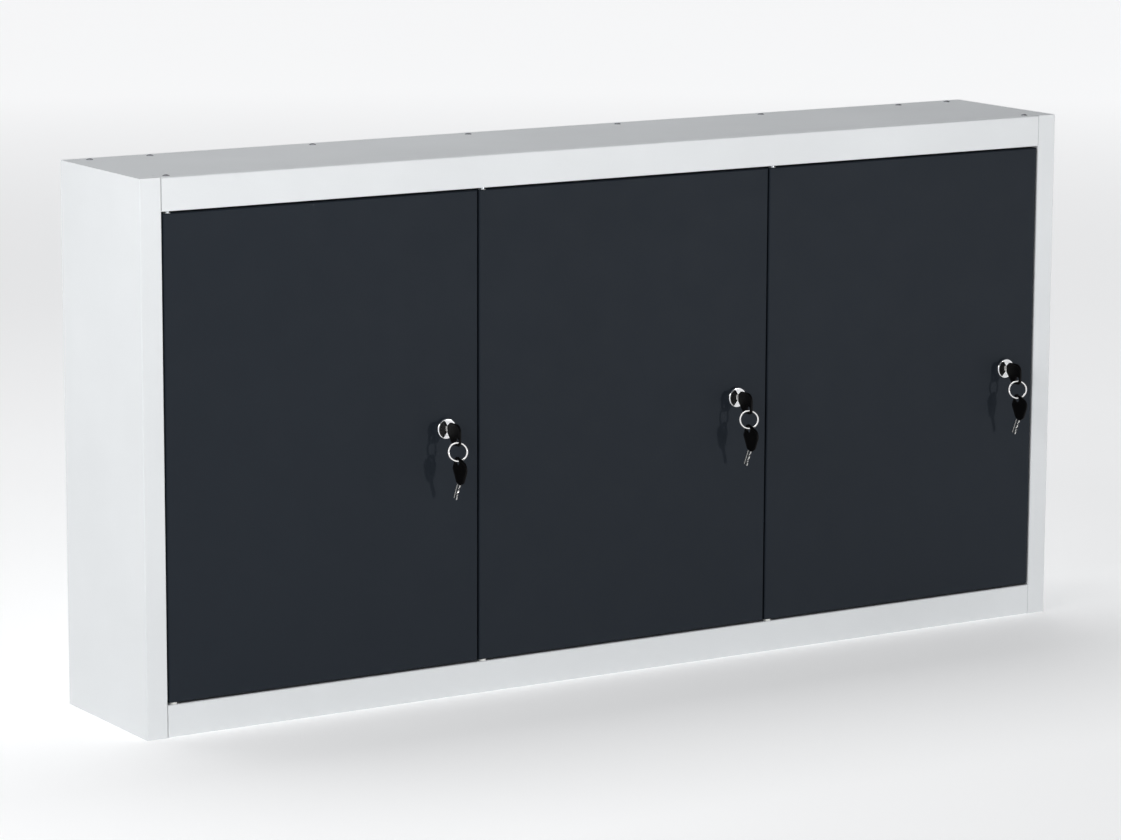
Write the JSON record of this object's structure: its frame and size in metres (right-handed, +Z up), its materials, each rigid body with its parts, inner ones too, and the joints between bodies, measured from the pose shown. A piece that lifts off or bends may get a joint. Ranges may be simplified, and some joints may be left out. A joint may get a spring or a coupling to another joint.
{
  "type": "key cabinet",
  "caption": "Wall-hung sheet-steel key cabinet: a row of side-hinged flush doors, each with its own cam lock and keys, closes over compartments with numbered hook rails.",
  "frame": {"origin": "centre of the wall-fixing hole pattern, on the back face", "axes": "+X to the right seen from the front, +Y out of the back face into the wall, +Z up"},
  "size_m": [1.2, 0.2334, 0.6014],
  "materials": {
    "carcass_paint": "satin powder coat, light grey",
    "rail_paint": "satin powder coat, light grey",
    "door_paint": "satin powder coat, anthracite",
    "rivet_steel": "dull steel",
    "zinc_steel": "bright zinc plating",
    "lock_chrome": "polished",
    "ring_steel": "polished nickel",
    "key_metal": "nickel plated",
    "key_plastic": "fine-grained black",
    "nylon": "natural white nylon",
    "rubber": "matt black"
  },
  "bodies": {
    "root": {"left_side_panel": "carcass_paint", "right_side_panel": "carcass_paint", "top_panel": "carcass_paint", "bottom_panel": "carcass_paint", "back_panel": "carcass_paint", "left_partition": "carcass_paint", "right_partition": "carcass_paint", "partition_strikes": "carcass_paint", "top_rivets": "rivet_steel", "lower_hinge_pins": "zinc_steel", "upper_hinge_pins": "zinc_steel", "hinge_washers": "nylon", "left_hook_rails": "rail_paint", "left_key_pegs": "zinc_steel", "centre_hook_rails": "rail_paint", "centre_key_pegs": "zinc_steel", "right_hook_rails": "rail_paint", "right_key_pegs": "zinc_steel"},
    "left_door": {"left_door_panel": "door_paint", "left_door_stiffener": "door_paint", "left_door_bushes": "nylon", "left_door_buffers": "rubber", "left_lock_housing": "lock_chrome", "left_lock_nut": "zinc_steel"},
    "left_plug": {"left_lock_plug": "lock_chrome", "left_lock_cam": "zinc_steel", "left_cam_screw": "zinc_steel"},
    "left_key": {"left_key_head": "key_plastic", "left_key_blade": "key_metal"},
    "left_ring": {"left_key_ring": "ring_steel"},
    "left_spare_key": {"left_spare_key_head": "key_plastic", "left_spare_key_blade": "key_metal"},
    "centre_door": {"centre_door_panel": "door_paint", "centre_door_stiffener": "door_paint", "centre_door_bushes": "nylon", "centre_door_buffers": "rubber", "centre_lock_housing": "lock_chrome", "centre_lock_nut": "zinc_steel"},
    "centre_plug": {"centre_lock_plug": "lock_chrome", "centre_lock_cam": "zinc_steel", "centre_cam_screw": "zinc_steel"},
    "centre_key": {"centre_key_head": "key_plastic", "centre_key_blade": "key_metal"},
    "centre_ring": {"centre_key_ring": "ring_steel"},
    "centre_spare_key": {"centre_spare_key_head": "key_plastic", "centre_spare_key_blade": "key_metal"},
    "right_door": {"right_door_panel": "door_paint", "right_door_stiffener": "door_paint", "right_door_bushes": "nylon", "right_door_buffers": "rubber", "right_lock_housing": "lock_chrome", "right_lock_nut": "zinc_steel"},
    "right_plug": {"right_lock_plug": "lock_chrome", "right_lock_cam": "zinc_steel", "right_cam_screw": "zinc_steel"},
    "right_key": {"right_key_head": "key_plastic", "right_key_blade": "key_metal"},
    "right_ring": {"right_key_ring": "ring_steel"},
    "right_spare_key": {"right_spare_key_head": "key_plastic", "right_spare_key_blade": "key_metal"}
  },
  "joints": [
    {"name": "left_door_hinge", "type": "hinge", "parent": "root", "child": "left_door", "pos_m": [-0.5665, -0.185, 0], "axis": [0, 0, -1], "range_deg": [0, 110]},
    {"name": "left_lock_turn", "type": "hinge", "parent": "left_door", "child": "left_plug", "pos_m": [-0.23333, -0.19, 0.003], "axis": [0, 1, 0], "range_deg": [0, 90]},
    {"name": "left_key_withdraw", "type": "slide", "parent": "left_plug", "child": "left_key", "axis": [0, -1, 0], "range_m": [0, 0.04]},
    {"name": "left_ring_swing", "type": "hinge", "parent": "left_key", "child": "left_ring", "pos_m": [-0.23333, -0.217, -0.0088], "axis": [1, 0, 0], "range_deg": [-60, 15]},
    {"name": "left_spare_key_swing", "type": "hinge", "parent": "left_ring", "child": "left_spare_key", "pos_m": [-0.23333, -0.217, -0.029], "axis": [0.9962, 0.0872, 0], "range_deg": [-20, 20]},
    {"name": "centre_door_hinge", "type": "hinge", "parent": "root", "child": "centre_door", "pos_m": [-0.18383, -0.185, 0], "axis": [0, 0, -1], "range_deg": [0, 110]},
    {"name": "centre_lock_turn", "type": "hinge", "parent": "centre_door", "child": "centre_plug", "pos_m": [0.14933, -0.19, 0.003], "axis": [0, 1, 0], "range_deg": [0, 90]},
    {"name": "centre_key_withdraw", "type": "slide", "parent": "centre_plug", "child": "centre_key", "axis": [0, -1, 0], "range_m": [0, 0.04]},
    {"name": "centre_ring_swing", "type": "hinge", "parent": "centre_key", "child": "centre_ring", "pos_m": [0.14933, -0.217, -0.0088], "axis": [1, 0, 0], "range_deg": [-60, 15]},
    {"name": "centre_spare_key_swing", "type": "hinge", "parent": "centre_ring", "child": "centre_spare_key", "pos_m": [0.14933, -0.217, -0.029], "axis": [0.9962, 0.0872, 0], "range_deg": [-20, 20]},
    {"name": "right_door_hinge", "type": "hinge", "parent": "root", "child": "right_door", "pos_m": [0.19883, -0.185, 0], "axis": [0, 0, -1], "range_deg": [0, 110]},
    {"name": "right_lock_turn", "type": "hinge", "parent": "right_door", "child": "right_plug", "pos_m": [0.532, -0.19, 0.003], "axis": [0, 1, 0], "range_deg": [0, 90]},
    {"name": "right_key_withdraw", "type": "slide", "parent": "right_plug", "child": "right_key", "axis": [0, -1, 0], "range_m": [0, 0.04]},
    {"name": "right_ring_swing", "type": "hinge", "parent": "right_key", "child": "right_ring", "pos_m": [0.532, -0.217, -0.0088], "axis": [1, 0, 0], "range_deg": [-60, 15]},
    {"name": "right_spare_key_swing", "type": "hinge", "parent": "right_ring", "child": "right_spare_key", "pos_m": [0.532, -0.217, -0.029], "axis": [0.9962, 0.0872, 0], "range_deg": [-20, 20]}
  ]
}
